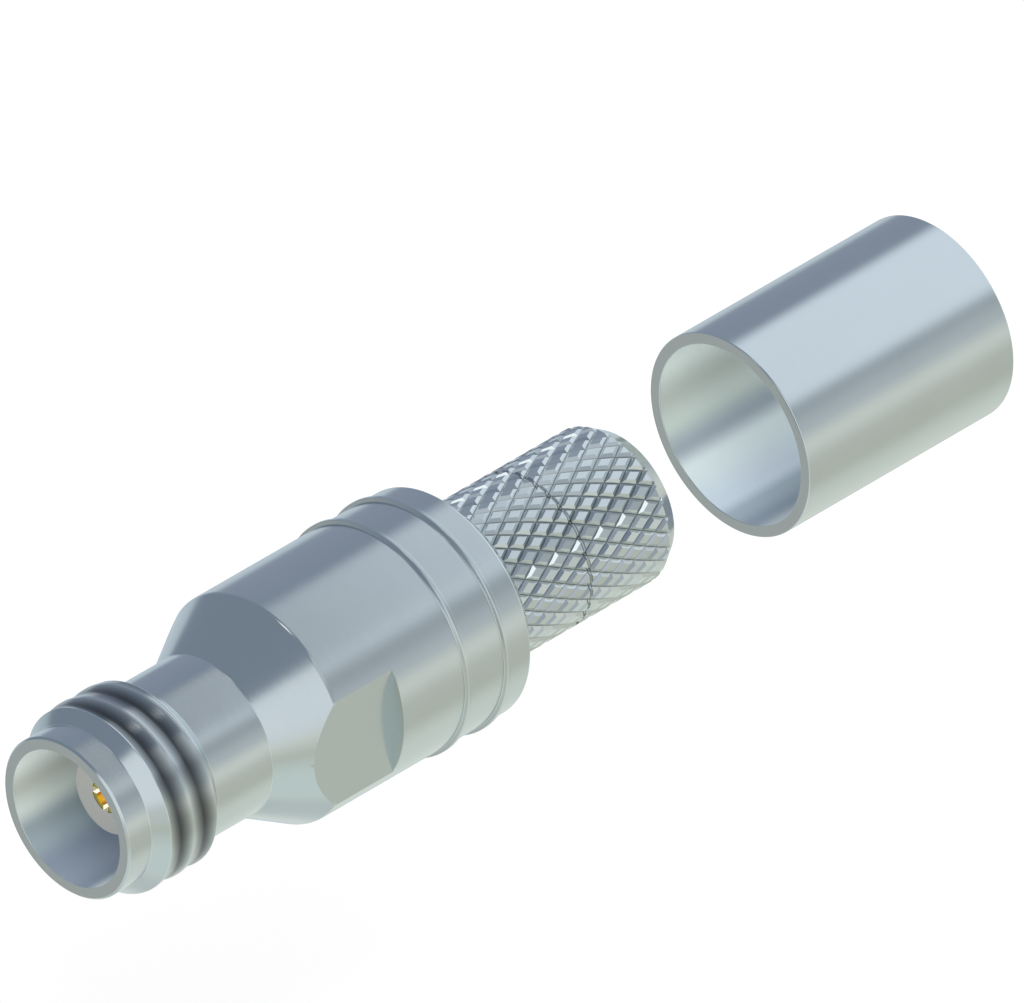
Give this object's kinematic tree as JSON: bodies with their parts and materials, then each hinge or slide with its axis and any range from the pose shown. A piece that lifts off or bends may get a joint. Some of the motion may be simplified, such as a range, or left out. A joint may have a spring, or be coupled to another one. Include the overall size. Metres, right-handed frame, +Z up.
{
  "type": "tnc connector",
  "caption": "Straight coaxial cable jack: threaded mouth with a slotted centre socket, grip body with wrench flats, knurled crimp stub, and a tubular crimp ferrule waiting behind it.",
  "frame": {"origin": "on the axis, at the middle of the coupling thread's length", "axes": "+X runs along the axis from the mouth to the cable end, so the mouth faces -X; the wrench flats face -Y and +Y; +Z is up"},
  "size_m": [0.0664, 0.0142, 0.0142],
  "materials": {
    "plated_housing": "brass turned smooth and plated pale grey, satin",
    "plated_stub": "brass with a diamond knurl, plated pale grey, satin",
    "plated_ferrule": "seamless tube plated pale grey, satin",
    "insulator": "turned fluoropolymer, off-white and matte",
    "gold_contact": "sprung copper alloy, gold plated"
  },
  "bodies": {
    "connector": {"housing": "plated_housing", "front_insulator": "insulator", "rear_insulator": "insulator", "centre_contact": "gold_contact", "crimp_stub": "plated_stub"},
    "ferrule": {"crimp_ferrule": "plated_ferrule"}
  },
  "joints": [
    {"name": "ferrule_slide", "type": "slide", "parent": "connector", "child": "ferrule", "axis": [-1, 0, 0], "range_m": [0, 0.0214]}
  ]
}
